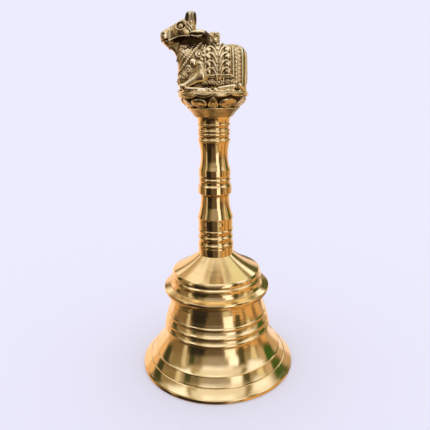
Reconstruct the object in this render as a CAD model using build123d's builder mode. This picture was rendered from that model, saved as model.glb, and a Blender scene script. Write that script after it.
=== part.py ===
from build123d import *
import os
from math import sqrt

# Brass puja hand bell: a turned cup on a turned handle, under a seated bull on a lotus.
#
# Millimetres, +Z up. The origin is the centre of the mouth, on the plane that the lip stands on.
# +X is the bull's tail end, so the bull faces -X and its flanks face +Y and -Y.
# Two threaded studs hold the bell together. The lower one is an eye bolt that draws the handle
# down on the crown, and the clapper hangs from its eye on a wire link. The upper one draws the
# bull and the lotus down on the handle. Threads are plain cylinders at their major diameter.

# Driving dimensions.
MOUTH_RADIUS = 37.8
CROWN_Z = 57.6  # top of the cup, where the handle stands
HANDLE_TOP_Z = 122.0
LOTUS_TOP_Z = 132.5
TOTAL_HEIGHT = 165.0
THREAD_RADIUS = 2.5
TAPPED_CLEARANCE = 0.02
THROUGH_CLEARANCE = 0.2

# Outside of the cup, from the lip up, as (radius, height).
LIP_CHAMFER = 0.3
LIP_EDGE = (MOUTH_RADIUS - 0.5, 2.1)
RIM_LINE = (33.9, 5.3)
FLARE_LINE = (31.2, 9.5)
WAIST_BEADS = [(26.2, 21.0), (25.5, 24.4), (24.4, 28.3)]  # crests of the three waist beads
BEAD_HALF_HEIGHT = 0.9
BEAD_DEPTH = 0.5
WAIST_TOP = (22.6, 37.4)
COLLAR_LOW = (25.4, 39.2)
COLLAR_HIGH = (25.4, 41.6)
COLLAR_LEDGE = (22.4, 42.3)
COLLAR_TOP = (21.9, 46.6)
CROWN_FOOT = (21.3, 47.2)
CROWN_EDGE = (20.7, 49.9)
CROWN_TOP = (8.4, CROWN_Z)

# Inside of the cup, from the lip up. The wall is thickest at the sound bow, just above the lip.
MOUTH_INNER_RADIUS = 34.4
SOUND_BOW = (31.8, 3.2)
INNER_FLARE = (27.6, 10.0)
INNER_WAIST = (22.3, 21.4)
INNER_SHOULDER = (19.6, 41.5)
INNER_CROWN_EDGE = (17.0, 47.0)
CEILING_RADIUS = 9.0
CEILING_Z = 53.6

# Handle, from its foot up, as (radius, height).
HANDLE_FOOT = [(8.35, CROWN_Z), (8.35, 61.2)]
LOWER_BEADS = [(8.5, 62.5), (8.35, 66.1), (8.35, 69.4)]
PLAIN_BAND = [(8.08, 70.6), (8.15, 75.2)]
HANDLE_EDGE = (8.42, 75.7)
LOWER_NECK = (6.65, 86.6)
LOWER_BAND = [(7.4, 87.1), (7.85, 87.5), (7.7, 90.8), (7.15, 91.6), (7.08, 92.4)]
MIDDLE_BEAD = (7.4, 93.7)
UPPER_BAND = [(7.08, 95.0), (7.32, 95.6), (7.32, 98.3)]
UPPER_NECK_LOW = (6.7, 100.1)
UPPER_NECK_WAIST = (6.24, 105.3)
UPPER_NECK_TOP = (7.0, 110.6)
UPPER_BEADS = [(7.36, 111.6), (7.3, 114.2), (7.3, 115.7), (7.36, 118.5)]
HANDLE_TOP_RADIUS = 7.85
GROOVE_DEPTH = 0.32  # of the grooves on each side of the handle's beads
WIDE_BEAD = 0.8  # half heights of the handle's beads
FINE_BEAD = 0.6

# Studs, washer and nut.
LOWER_STUD_TOP_Z = 78.0
UPPER_STUD_LOW_Z = 110.0
UPPER_STUD_TOP_Z = 140.0
TAP_RUNOUT = 1.0
WASHER_RADIUS = 7.0
WASHER_THICKNESS = 1.2
NUT_FLATS = 8.0
NUT_THICKNESS = 4.0
NUT_CORNER_RADIUS = 4.2  # where the turned corners meet the end faces
STUD_CHAMFER = 0.5

# Clapper train. Each loop hangs on the wire of the one above it.
HANG_GAP = 0.1
EYE_WIRE = 1.3  # wire radii
LINK_WIRE = 0.9
CLAPPER_WIRE = 1.2
EYE_RING_RADIUS = 3.4  # centre lines
EYE_NECK_LENGTH = 0.9
EYE_NECK_RADIUS = 1.8
CLAPPER_RING_RADIUS = 2.9
LINK_HALF_WIDTH = 2.7
LINK_LENGTH = 8.2
CLAPPER_ROD_RADIUS = 1.5
BALL_RADIUS = 7.0
BALL_Z = 11.5
BALL_BOSS_RADIUS = 3.2
BALL_TOP_Z = 20.0
SPOT_FACE_RADIUS = 2.6
RIVET_RADIUS = 2.3
RIVET_HEIGHT = 0.8

nut_low_z = CEILING_Z - WASHER_THICKNESS - NUT_THICKNESS
eye_ring_z = nut_low_z - EYE_NECK_LENGTH - EYE_WIRE - EYE_RING_RADIUS
link_pivot_z = eye_ring_z - EYE_RING_RADIUS
link_top_z = link_pivot_z + EYE_WIRE + LINK_WIRE + HANG_GAP
clapper_pivot_z = link_top_z - LINK_LENGTH
clapper_ring_z = clapper_pivot_z + LINK_WIRE + CLAPPER_WIRE + HANG_GAP - CLAPPER_RING_RADIUS
eye_neck_z = eye_ring_z + EYE_RING_RADIUS
rivet_z = BALL_Z - sqrt(BALL_RADIUS**2 - SPOT_FACE_RADIUS**2)
boss_z = BALL_Z + sqrt(BALL_RADIUS**2 - BALL_BOSS_RADIUS**2)

# Lotus.
LOTUS_RADIUS = 15.4
LOTUS_FOOT = [(8.4, HANDLE_TOP_Z), (8.7, 122.7)]  # its foot ring, as (radius, height)
LOTUS_CORE = [(10.8, 125.0), (14.2, LOTUS_TOP_Z)]
LOTUS_ENVELOPE = [(12.9, 127.0), (LOTUS_RADIUS, LOTUS_TOP_Z)]
PETALS = 12
UPPER_PETALS = (4.1, 11.9, 131.4)  # lobe radius, distance of its centre from the axis, height
LOWER_PETALS = (3.6, 9.7, 128.4)

# Bull. It lies along X with its muzzle towards -X.
PLINTH_MIDDLE_X = -0.45
PLINTH_LENGTH = 30.5
PLINTH_WIDTH = 21.6
PLINTH_CORNER = 9.2
PLINTH_TOP_Z = LOTUS_TOP_Z + 1.7
TRUNK_HALF_WIDTH = 9.2
LEG_HALF_WIDTH = 10.5
CLOTH_HALF_WIDTH = 9.9
NECK_HALF_WIDTH = 5.2
EAR_HALF_SPAN = 6.4
MEDALLION_RADIUS = 1.6
MEDALLIONS = [(-6.3, 147.8), (-8.8, 144.8), (-11.0, 142.1), (-13.4, 139.6)]
HORN_X = -9.45
HORN_Y = 2.9
HORN_FOOT_Z = 157.0
HORN_RADII = (2.8, 2.2)  # at the foot and at the tip

# The bull's outlines from the side, as (x, z).
TRUNK_SIDE = [
    (14.8, 148.0),
    (14.8, 133.0),
    (-15.6, 133.0),
    (-15.6, 148.5),
    (-10.0, 153.0),
    (-4.0, 154.0),
    (10.7, 151.3),
]
RUMP_TOP = (13.4, 150.2)
SHOULDER_Z = 146.0  # where the flanks start to round over
BACK_RIDGE_Z = 154.5
FORELEG = [
    (-6.1, 143.0),
    (-9.0, 142.0),
    (-12.9, 136.0),
    (-12.9, 133.5),
    (-2.6, 133.5),
    (-2.6, 135.2),
    (-8.0, 136.5),
]
HIND_HOOF = (4.6, 134.6)  # centre of the slot
HIND_HOOF_SIZE = (9.0, 2.4)
CLOTH_MIDDLE = (2.7, 143.4)
CLOTH_SIZE = (11.9, 8.4)
NECK_AND_HUMP = [
    (-15.0, 147.0),
    (-2.6, 147.0),
    (2.9, 150.0),
    (2.9, 157.0),
    (-2.6, 157.2),
    (-8.3, 158.0),
    (-15.0, 152.0),
]
EAR_MIDDLE = (-5.7, 156.2)
EAR_RADII = (3.0, 1.3)
HEAD_SECTIONS = [  # x, width, low z, high z
    (-21.7, 5.2, 154.2, 157.2),
    (-18.5, 6.6, 151.8, 158.6),
    (-15.1, 9.2, 150.6, 160.6),
    (-8.8, 8.4, 150.6, 159.4),
]


def bead(crest, half_height=BEAD_HALF_HEIGHT, depth=BEAD_DEPTH):
    """A round bead through a crest, in the outline that is open."""
    r, z = crest
    return ThreePointArc((r - depth, z - half_height), (r, z), (r - depth, z + half_height))


# Cup: one casting, turned outside, drilled through the crown.
with BuildPart() as bell_cup:
    with BuildSketch(Plane.XZ):
        with BuildLine():
            low, middle, high = (bead(crest) for crest in WAIST_BEADS)
            Polyline(
                (MOUTH_INNER_RADIUS, 0),
                (MOUTH_RADIUS - LIP_CHAMFER, 0),
                (MOUTH_RADIUS, LIP_CHAMFER),
                (MOUTH_RADIUS - 0.1, 1.6),
                LIP_EDGE,
            )
            SagittaArc(LIP_EDGE, RIM_LINE, 0.1)
            SagittaArc(RIM_LINE, FLARE_LINE, 0.12)
            SagittaArc(FLARE_LINE, low @ 0, 1.0)
            SagittaArc(low @ 1, middle @ 0, 0.15)
            SagittaArc(middle @ 1, high @ 0, 0.15)
            SagittaArc(high @ 1, WAIST_TOP, 0.3)
            SagittaArc(WAIST_TOP, COLLAR_LOW, -0.5)
            SagittaArc(COLLAR_LOW, COLLAR_HIGH, -0.35)
            Line(COLLAR_HIGH, COLLAR_LEDGE)
            SagittaArc(COLLAR_LEDGE, COLLAR_TOP, 0.5)
            Line(COLLAR_TOP, CROWN_FOOT)
            SagittaArc(CROWN_FOOT, CROWN_EDGE, -0.4)
            SagittaArc(CROWN_EDGE, CROWN_TOP, 0.5)
            Polyline(CROWN_TOP, (0, CROWN_Z), (0, CEILING_Z), (CEILING_RADIUS, CEILING_Z), INNER_CROWN_EDGE)
            SagittaArc(INNER_CROWN_EDGE, INNER_SHOULDER, 0.6)
            SagittaArc(INNER_SHOULDER, INNER_WAIST, -0.4)
            SagittaArc(INNER_WAIST, INNER_FLARE, -0.6)
            Polyline(INNER_FLARE, SOUND_BOW, (MOUTH_INNER_RADIUS, 0))
        make_face()
    revolve(axis=Axis.Z)
    with Locations((0, 0, CROWN_Z)):
        Hole(THREAD_RADIUS + THROUGH_CLEARANCE, CROWN_Z - CEILING_Z + 1)

# Handle: one turned baluster with a tapped hole in each end.
with BuildPart() as handle_shaft:
    with BuildSketch(Plane.XZ):
        with BuildLine():
            foot_1, foot_2, foot_3 = (bead(crest, WIDE_BEAD, GROOVE_DEPTH) for crest in LOWER_BEADS)
            waist = bead(MIDDLE_BEAD, WIDE_BEAD, GROOVE_DEPTH)
            top_1, top_2, top_3, top_4 = (bead(crest, FINE_BEAD, GROOVE_DEPTH) for crest in UPPER_BEADS)
            Polyline((0, CROWN_Z), *HANDLE_FOOT, foot_1 @ 0)
            SagittaArc(foot_1 @ 1, foot_2 @ 0, 0.25)
            SagittaArc(foot_2 @ 1, foot_3 @ 0, 0.25)
            Polyline(foot_3 @ 1, *PLAIN_BAND, HANDLE_EDGE)
            SagittaArc(HANDLE_EDGE, LOWER_NECK, 0.55)
            Polyline(LOWER_NECK, *LOWER_BAND, waist @ 0)
            Polyline(waist @ 1, *UPPER_BAND, UPPER_NECK_LOW)
            ThreePointArc(UPPER_NECK_LOW, UPPER_NECK_WAIST, UPPER_NECK_TOP)
            Line(UPPER_NECK_TOP, top_1 @ 0)
            SagittaArc(top_1 @ 1, top_2 @ 0, 0.2)
            Line(top_2 @ 1, top_3 @ 0)
            SagittaArc(top_3 @ 1, top_4 @ 0, 0.2)
            SagittaArc(top_4 @ 1, (HANDLE_TOP_RADIUS, HANDLE_TOP_Z), 0.2)
            Polyline((HANDLE_TOP_RADIUS, HANDLE_TOP_Z), (0, HANDLE_TOP_Z), (0, CROWN_Z))
        make_face()
    revolve(axis=Axis.Z)
    with BuildSketch(Plane.XY.offset(CROWN_Z)):
        Circle(THREAD_RADIUS + TAPPED_CLEARANCE)
    extrude(amount=LOWER_STUD_TOP_Z + TAP_RUNOUT - CROWN_Z, mode=Mode.SUBTRACT)
    with BuildSketch(Plane.XY.offset(UPPER_STUD_LOW_Z - TAP_RUNOUT)):
        Circle(THREAD_RADIUS + TAPPED_CLEARANCE)
    extrude(amount=HANDLE_TOP_Z - UPPER_STUD_LOW_Z + TAP_RUNOUT, mode=Mode.SUBTRACT)

# Upper stud: from the handle through the lotus into the bull.
with BuildPart() as finial_stud:
    with BuildSketch(Plane.XY.offset(UPPER_STUD_LOW_Z)):
        Circle(THREAD_RADIUS)
    extrude(amount=UPPER_STUD_TOP_Z - UPPER_STUD_LOW_Z)
    chamfer(finial_stud.edges().filter_by(GeomType.CIRCLE), STUD_CHAMFER)

# Eye bolt: its stud goes up through the crown into the handle, and the clapper hangs in its eye.
with BuildPart() as hanger_bolt:
    with BuildSketch(Plane.XY.offset(nut_low_z - EYE_NECK_LENGTH)):
        Circle(THREAD_RADIUS)
    extrude(amount=LOWER_STUD_TOP_Z - nut_low_z + EYE_NECK_LENGTH)
    chamfer(hanger_bolt.edges().filter_by(GeomType.CIRCLE), STUD_CHAMFER)
    with BuildSketch(Plane.XY.offset(eye_neck_z - EYE_WIRE / 2)):
        Circle(EYE_NECK_RADIUS)
    extrude(amount=nut_low_z - eye_neck_z + EYE_WIRE / 2)
    with Locations(Location((0, 0, eye_ring_z), (90, 0, 0))):
        Torus(EYE_RING_RADIUS, EYE_WIRE)

# Washer between the nut and the inside of the crown.
with BuildPart() as crown_washer:
    with BuildSketch(Plane.XY.offset(CEILING_Z - WASHER_THICKNESS)):
        Circle(WASHER_RADIUS)
        Circle(THREAD_RADIUS + THROUGH_CLEARANCE, mode=Mode.SUBTRACT)
    extrude(amount=WASHER_THICKNESS)

# Nut that locks the eye bolt against the crown, with its corners turned off.
with BuildPart() as hanger_nut:
    with BuildSketch(Plane.XY.offset(nut_low_z)):
        RegularPolygon(NUT_FLATS / 2, 6, major_radius=False)
        Circle(THREAD_RADIUS + TAPPED_CLEARANCE, mode=Mode.SUBTRACT)
    extrude(amount=NUT_THICKNESS)
    with Locations((0, 0, nut_low_z)):
        Cone(
            NUT_CORNER_RADIUS + NUT_THICKNESS,
            NUT_CORNER_RADIUS,
            NUT_THICKNESS,
            align=(Align.CENTER, Align.CENTER, Align.MIN),
            mode=Mode.INTERSECT,
        )
        Cone(
            NUT_CORNER_RADIUS,
            NUT_CORNER_RADIUS + NUT_THICKNESS,
            NUT_THICKNESS,
            align=(Align.CENTER, Align.CENTER, Align.MIN),
            mode=Mode.INTERSECT,
        )

# Closed wire link between the eye bolt and the clapper. It stands in the YZ plane.
with BuildPart() as clapper_link:
    with BuildLine(Plane.YZ) as link_path:
        top_bend_z = link_top_z - LINK_HALF_WIDTH
        low_bend_z = clapper_pivot_z + LINK_HALF_WIDTH
        Line((LINK_HALF_WIDTH, low_bend_z), (LINK_HALF_WIDTH, top_bend_z))
        ThreePointArc((LINK_HALF_WIDTH, top_bend_z), (0, link_top_z), (-LINK_HALF_WIDTH, top_bend_z))
        Line((-LINK_HALF_WIDTH, top_bend_z), (-LINK_HALF_WIDTH, low_bend_z))
        ThreePointArc((-LINK_HALF_WIDTH, low_bend_z), (0, clapper_pivot_z), (LINK_HALF_WIDTH, low_bend_z))
    with BuildSketch(Plane(link_path.line @ 0, z_dir=link_path.line % 0)):
        Circle(LINK_WIRE)
    sweep(path=link_path.line)

# Clapper rod: an eye at the top and a riveted head under the ball.
with BuildPart() as clapper_rod:
    with BuildSketch(Plane.XZ):
        with BuildLine():
            ThreePointArc(
                (0, rivet_z - RIVET_HEIGHT),
                (RIVET_RADIUS * 0.7, rivet_z - RIVET_HEIGHT * 0.7),
                (RIVET_RADIUS, rivet_z),
            )
            Polyline(
                (RIVET_RADIUS, rivet_z),
                (CLAPPER_ROD_RADIUS, rivet_z),
                (CLAPPER_ROD_RADIUS, clapper_ring_z - CLAPPER_RING_RADIUS),
                (0, clapper_ring_z - CLAPPER_RING_RADIUS),
                (0, rivet_z - RIVET_HEIGHT),
            )
        make_face()
    revolve(axis=Axis.Z)
    with Locations(Location((0, 0, clapper_ring_z), (90, 0, 0))):
        Torus(CLAPPER_RING_RADIUS, CLAPPER_WIRE)

# Clapper ball: a boss on top, drilled for the rod and spot-faced for its riveted head.
with BuildPart() as clapper_ball:
    with BuildSketch(Plane.XZ):
        with BuildLine():
            bore_radius = CLAPPER_ROD_RADIUS + TAPPED_CLEARANCE
            Line((bore_radius, rivet_z), (SPOT_FACE_RADIUS, rivet_z))
            ThreePointArc((SPOT_FACE_RADIUS, rivet_z), (BALL_RADIUS, BALL_Z), (BALL_BOSS_RADIUS, boss_z))
            Polyline(
                (BALL_BOSS_RADIUS, boss_z),
                (BALL_BOSS_RADIUS, BALL_TOP_Z - 0.6),
                (BALL_BOSS_RADIUS - 0.6, BALL_TOP_Z),
                (bore_radius, BALL_TOP_Z),
                (bore_radius, rivet_z),
            )
        make_face()
    revolve(axis=Axis.Z)

# Lotus: a turned cone under two rows of petal lobes, trimmed to one envelope.
with BuildPart() as lotus_pedestal:
    with BuildSketch(Plane.XZ):
        with BuildLine():
            Polyline((0, HANDLE_TOP_Z), *LOTUS_FOOT, LOTUS_CORE[0])
            SagittaArc(*LOTUS_CORE, -0.8)
            Polyline(LOTUS_CORE[1], (0, LOTUS_TOP_Z), (0, HANDLE_TOP_Z))
        make_face()
    revolve(axis=Axis.Z)
    for row, (lobe_radius, distance, z) in enumerate((UPPER_PETALS, LOWER_PETALS)):
        with Locations((0, 0, z)):
            with PolarLocations(distance, PETALS, start_angle=row * 180 / PETALS):
                Sphere(lobe_radius)
    with BuildSketch(Plane.XZ):
        with BuildLine():
            Polyline((0, HANDLE_TOP_Z), *LOTUS_FOOT, LOTUS_ENVELOPE[0])
            SagittaArc(*LOTUS_ENVELOPE, -0.5)
            Polyline(LOTUS_ENVELOPE[1], (0, LOTUS_TOP_Z), (0, HANDLE_TOP_Z))
        make_face()
    revolve(axis=Axis.Z, mode=Mode.INTERSECT)
    with Locations((0, 0, LOTUS_TOP_Z)):
        Hole(THREAD_RADIUS + THROUGH_CLEARANCE, LOTUS_TOP_Z)

# Bull: what lies over the plinth first, trimmed to the plinth's plan, then what rises above it.
with BuildPart() as bull_figure:
    with BuildSketch(Plane.XZ):  # trunk, from the side
        with BuildLine():
            Polyline(*TRUNK_SIDE)
            ThreePointArc(TRUNK_SIDE[-1], RUMP_TOP, TRUNK_SIDE[0])
        make_face()
    extrude(amount=TRUNK_HALF_WIDTH, both=True)
    with BuildSketch(Plane.YZ):  # trunk, from behind
        with BuildLine():
            left = (-TRUNK_HALF_WIDTH, SHOULDER_Z)
            right = (TRUNK_HALF_WIDTH, SHOULDER_Z)
            Polyline(left, (-TRUNK_HALF_WIDTH, LOTUS_TOP_Z), (TRUNK_HALF_WIDTH, LOTUS_TOP_Z), right)
            ThreePointArc(right, (0, BACK_RIDGE_Z), left)
        make_face()
    extrude(amount=PLINTH_LENGTH, both=True, mode=Mode.INTERSECT)
    with BuildSketch(Plane.XZ):  # folded forelegs and hind hooves
        Polygon(*FORELEG, align=None)
        with Locations(HIND_HOOF):
            SlotOverall(*HIND_HOOF_SIZE)
    extrude(amount=LEG_HALF_WIDTH, both=True)
    with BuildSketch(Plane.XZ):  # saddle cloth and garland
        with Locations(CLOTH_MIDDLE):
            Rectangle(*CLOTH_SIZE)
        with Locations(*MEDALLIONS):
            Circle(MEDALLION_RADIUS)
    extrude(amount=CLOTH_HALF_WIDTH, both=True)
    with BuildSketch(Plane.XY.offset(LOTUS_TOP_Z)) as plinth_plan:
        with Locations((PLINTH_MIDDLE_X, 0)):
            RectangleRounded(PLINTH_LENGTH, PLINTH_WIDTH, PLINTH_CORNER)
    extrude(amount=PLINTH_TOP_Z - LOTUS_TOP_Z)
    extrude(plinth_plan.sketch, amount=TOTAL_HEIGHT - LOTUS_TOP_Z, mode=Mode.INTERSECT)
    with BuildSketch(Plane.XZ):
        Polygon(*NECK_AND_HUMP, align=None)
    extrude(amount=NECK_HALF_WIDTH, both=True)
    for x, width, low_z, high_z in HEAD_SECTIONS:
        with BuildSketch(Plane.YZ.offset(x)):
            with Locations((0, (low_z + high_z) / 2)):
                RectangleRounded(width, high_z - low_z, min(width, high_z - low_z) / 3)
    loft()
    with BuildSketch(Plane.XZ):
        with Locations(EAR_MIDDLE):
            Ellipse(*EAR_RADII)
    extrude(amount=EAR_HALF_SPAN, both=True)
    for side in (-1, 1):
        with Locations((HORN_X, side * HORN_Y, HORN_FOOT_Z)):
            Cone(*HORN_RADII, TOTAL_HEIGHT - HORN_FOOT_Z, align=(Align.CENTER, Align.CENTER, Align.MIN))
    with BuildSketch(Plane.XY.offset(LOTUS_TOP_Z)):
        Circle(THREAD_RADIUS + TAPPED_CLEARANCE)
    extrude(amount=UPPER_STUD_TOP_Z + TAP_RUNOUT - LOTUS_TOP_Z, mode=Mode.SUBTRACT)

os.makedirs("parts", exist_ok=True)
bell_cup.part.label = "bell_cup"
export_step(bell_cup.part, "parts/bell_cup.step")
handle_shaft.part.label = "handle_shaft"
export_step(handle_shaft.part, "parts/handle_shaft.step")
finial_stud.part.label = "finial_stud"
export_step(finial_stud.part, "parts/finial_stud.step")
hanger_bolt.part.label = "hanger_bolt"
export_step(hanger_bolt.part, "parts/hanger_bolt.step")
crown_washer.part.label = "crown_washer"
export_step(crown_washer.part, "parts/crown_washer.step")
hanger_nut.part.label = "hanger_nut"
export_step(hanger_nut.part, "parts/hanger_nut.step")
clapper_link.part.label = "clapper_link"
export_step(clapper_link.part, "parts/clapper_link.step")
clapper_rod.part.label = "clapper_rod"
export_step(clapper_rod.part, "parts/clapper_rod.step")
clapper_ball.part.label = "clapper_ball"
export_step(clapper_ball.part, "parts/clapper_ball.step")
lotus_pedestal.part.label = "lotus_pedestal"
export_step(lotus_pedestal.part, "parts/lotus_pedestal.step")
bull_figure.part.label = "bull_figure"
export_step(bull_figure.part, "parts/bull_figure.step")
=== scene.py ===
"""Looks of the brass puja bell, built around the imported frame.

Outlines and sculpted shapes are in millimetres, in the frame's own axes: +Z up, the bull faces -X.
Everything is scaled to metres when its mesh is made.
"""

import math

import bpy
import numpy as np
from mathutils import Matrix


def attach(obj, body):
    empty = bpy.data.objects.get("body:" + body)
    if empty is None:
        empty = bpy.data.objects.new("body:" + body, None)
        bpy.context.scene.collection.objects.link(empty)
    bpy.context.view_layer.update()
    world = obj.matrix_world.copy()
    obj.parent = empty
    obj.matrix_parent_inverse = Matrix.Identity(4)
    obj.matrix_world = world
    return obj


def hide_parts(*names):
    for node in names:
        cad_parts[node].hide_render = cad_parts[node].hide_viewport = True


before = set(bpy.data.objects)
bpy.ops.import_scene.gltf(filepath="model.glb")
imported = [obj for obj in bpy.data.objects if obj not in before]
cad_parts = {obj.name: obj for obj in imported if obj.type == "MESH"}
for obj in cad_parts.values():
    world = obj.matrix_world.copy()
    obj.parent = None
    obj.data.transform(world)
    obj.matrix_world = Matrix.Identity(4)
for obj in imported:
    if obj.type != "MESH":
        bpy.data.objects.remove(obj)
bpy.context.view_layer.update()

MM = 0.001
STUD_HOLE = 2.52  # radius of the tapped holes for the M5 studs

# -------------------------------------------- node helpers


class Nodes:
    """Short calls for building a node tree. An input is a socket to link or a plain value."""

    def __init__(self, tree):
        self.tree = tree
        tree.nodes.clear()

    def add(self, kind, inputs=None, **settings):
        node = self.tree.nodes.new(kind)
        for name, value in settings.items():
            setattr(node, name, value)
        for name, value in (inputs or {}).items():
            self.put(node.inputs[name], value)
        return node

    def put(self, socket, value):
        if isinstance(value, bpy.types.NodeSocket):
            self.tree.links.new(value, socket)
        else:
            socket.default_value = value

    def math(self, operation, *values, clamp=False):
        node = self.add("ShaderNodeMath", operation=operation, use_clamp=clamp)
        for socket, value in zip(node.inputs, values):
            self.put(socket, value)
        return node.outputs[0]

    def ramp(self, value, low, high, to_low=0.0, to_high=1.0):
        """A smooth step of value from low to high."""
        node = self.add("ShaderNodeMapRange", interpolation_type="SMOOTHSTEP")
        for socket, item in zip(node.inputs, (value, low, high, to_low, to_high)):
            self.put(socket, item)
        return node.outputs[0]

    def mix(self, factor, a, b):
        node = self.add("ShaderNodeMix", data_type="RGBA")
        self.put(node.inputs[0], factor)
        self.put(node.inputs[6], a)
        self.put(node.inputs[7], b)
        return node.outputs[2]

    def noise(self, vector, scale, detail=4.0, rough=0.55):
        node = self.add("ShaderNodeTexNoise", {"Scale": scale, "Detail": detail, "Roughness": rough})
        self.put(node.inputs["Vector"], vector)
        return node.outputs["Fac"]

    def rings(self, along, scale, detail):
        """Noise that changes only along one length."""
        node = self.add("ShaderNodeTexNoise", {"Scale": scale, "Detail": detail}, noise_dimensions="1D")
        self.put(node.inputs["W"], along)
        return node.outputs["Fac"]

    def attribute(self, name):
        return self.add("ShaderNodeAttribute", attribute_name=name).outputs["Fac"]

    def about_half(self, noise, amount, base):
        """Adds noise to base, as far below its middle as above."""
        return self.math("MULTIPLY_ADD", self.math("SUBTRACT", noise, 0.5), amount, base)


def rgb(red, green, blue):
    return (red, green, blue, 1.0)


def new_material(name):
    material = bpy.data.materials.new(name)
    material.use_nodes = True
    return material, Nodes(material.node_tree)


def finish_material(nodes, **inputs):
    shader = nodes.add("ShaderNodeBsdfPrincipled")
    for name, value in inputs.items():
        nodes.put(shader.inputs[name.replace("_", " ")], value)
    output = nodes.add("ShaderNodeOutputMaterial")
    nodes.tree.links.new(shader.outputs[0], output.inputs[0])
    return shader


# ----------------------------------------------- materials


def turned_brass(name, clean, tarnish, roughness, anisotropy=0.60, ring_marks=0.30):
    """Bright brass from the lathe: fine rings round the axis, dulled in the grooves."""
    material, nodes = new_material(name)
    place = nodes.add("ShaderNodeTexCoord").outputs["Object"]
    xyz = nodes.add("ShaderNodeSeparateXYZ", {"Vector": place}).outputs
    squares = [nodes.math("POWER", axis, 2.0) for axis in xyz[:2]]
    radius = nodes.math("SQRT", nodes.math("ADD", *squares))
    along = nodes.math("MULTIPLY_ADD", radius, 1.3, xyz[2])
    fine = nodes.rings(along, 2600.0, 2.0)
    broad = nodes.rings(along, 420.0, 3.0)
    blotch = nodes.noise(place, 90.0)
    grooves = nodes.ramp(nodes.attribute("cavity"), 0.03, 0.30)
    dull = nodes.math("MULTIPLY_ADD", nodes.ramp(blotch, 0.48, 0.72), 0.22, grooves, clamp=True)
    dull = nodes.math("MULTIPLY_ADD", nodes.ramp(broad, 0.5, 0.75), 0.12, dull, clamp=True)
    colour = nodes.mix(dull, clean, tarnish)
    rough = nodes.math("MULTIPLY_ADD", dull, 0.22, roughness)
    rough = nodes.math("MULTIPLY_ADD", nodes.math("SUBTRACT", broad, 0.5), 0.10, rough, clamp=True)
    height = nodes.math("MULTIPLY_ADD", broad, 0.35, fine)
    bump = nodes.add("ShaderNodeBump", {"Strength": ring_marks, "Distance": 0.00002, "Height": height})
    tangent = nodes.add("ShaderNodeTangent", direction_type="RADIAL", axis="Z")
    finish_material(
        nodes,
        Base_Color=colour,
        Metallic=1.0,
        Roughness=rough,
        Anisotropic=anisotropy,
        Anisotropic_Rotation=0.25,
        Tangent=tangent.outputs[0],
        Normal=bump.outputs[0],
    )
    return material


def cast_brass(name):
    """Cast brass with dark patina left in the hollows, the high spots rubbed bright, and painted shade,
    near black, in its deep recesses.
    """
    material, nodes = new_material(name)
    place = nodes.add("ShaderNodeTexCoord").outputs["Object"]
    patch = nodes.noise(place, 260.0, 5.0)
    grain = nodes.noise(place, 1500.0, 3.0)
    hollowness = nodes.about_half(patch, 0.45, nodes.attribute("cavity"))
    dirt = nodes.math("MULTIPLY", nodes.ramp(hollowness, 0.06, 0.50), 0.80)
    # Painted shade: near black in the deep recesses and in the places each piece lists, over the patina.
    patina_and_painted_shade = nodes.ramp(nodes.about_half(patch, 0.5, nodes.attribute("hollow")), 0.30, 0.75)
    worn = nodes.ramp(hollowness, -0.05, -0.38)
    metal = nodes.mix(worn, rgb(0.70, 0.54, 0.31), rgb(0.98, 0.86, 0.62))
    colour = nodes.mix(dirt, metal, rgb(0.13, 0.085, 0.042))
    colour = nodes.mix(patina_and_painted_shade, colour, rgb(0.060, 0.034, 0.014))
    dull = nodes.math("MAXIMUM", dirt, patina_and_painted_shade)
    polished = nodes.math("MULTIPLY_ADD", worn, -0.08, 0.21)
    rough = nodes.math("MULTIPLY_ADD", dull, 0.30, polished, clamp=True)
    height = nodes.math("MULTIPLY_ADD", patch, 0.6, grain)
    bump = nodes.add("ShaderNodeBump", {"Strength": 0.35, "Distance": 0.00008, "Height": height})
    finish_material(nodes, Base_Color=colour, Metallic=1.0, Roughness=rough, Normal=bump.outputs[0])
    return material


def dull_steel(name):
    """Plain steel wire and hardware, with a faint brown bloom."""
    material, nodes = new_material(name)
    place = nodes.add("ShaderNodeTexCoord").outputs["Object"]
    bloom = nodes.ramp(nodes.noise(place, 420.0), 0.45, 0.70)
    grain = nodes.noise(place, 3000.0, 2.0)
    colour = nodes.mix(bloom, rgb(0.50, 0.49, 0.47), rgb(0.26, 0.19, 0.13))
    rough = nodes.math("MULTIPLY_ADD", bloom, 0.25, 0.28)
    bump = nodes.add("ShaderNodeBump", {"Strength": 0.3, "Distance": 0.00004, "Height": grain})
    finish_material(nodes, Base_Color=colour, Metallic=1.0, Roughness=rough, Normal=bump.outputs[0])
    return material


# -------------------------------------------- mesh helpers


def make_piece(name, vertices, faces, material, **attributes):
    """A smooth-shaded mesh object from millimetre points, with float attributes for its points."""
    mesh = bpy.data.meshes.new(name)
    mesh.from_pydata((np.asarray(vertices) * MM).tolist(), [], faces)
    for attribute, values in attributes.items():
        layer = mesh.attributes.new(attribute, "FLOAT", "POINT")
        layer.data.foreach_set("value", np.asarray(values, np.float32))
    mesh.shade_smooth()
    mesh.materials.append(material)
    piece = bpy.data.objects.new(name, mesh)
    bpy.context.scene.collection.objects.link(piece)
    return piece


def settle(piece, node, body="bell"):
    """The piece stands for a CAD node and rides on its body."""
    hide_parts(node)
    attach(piece, body)


# -------------------------------------------- turned parts


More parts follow.
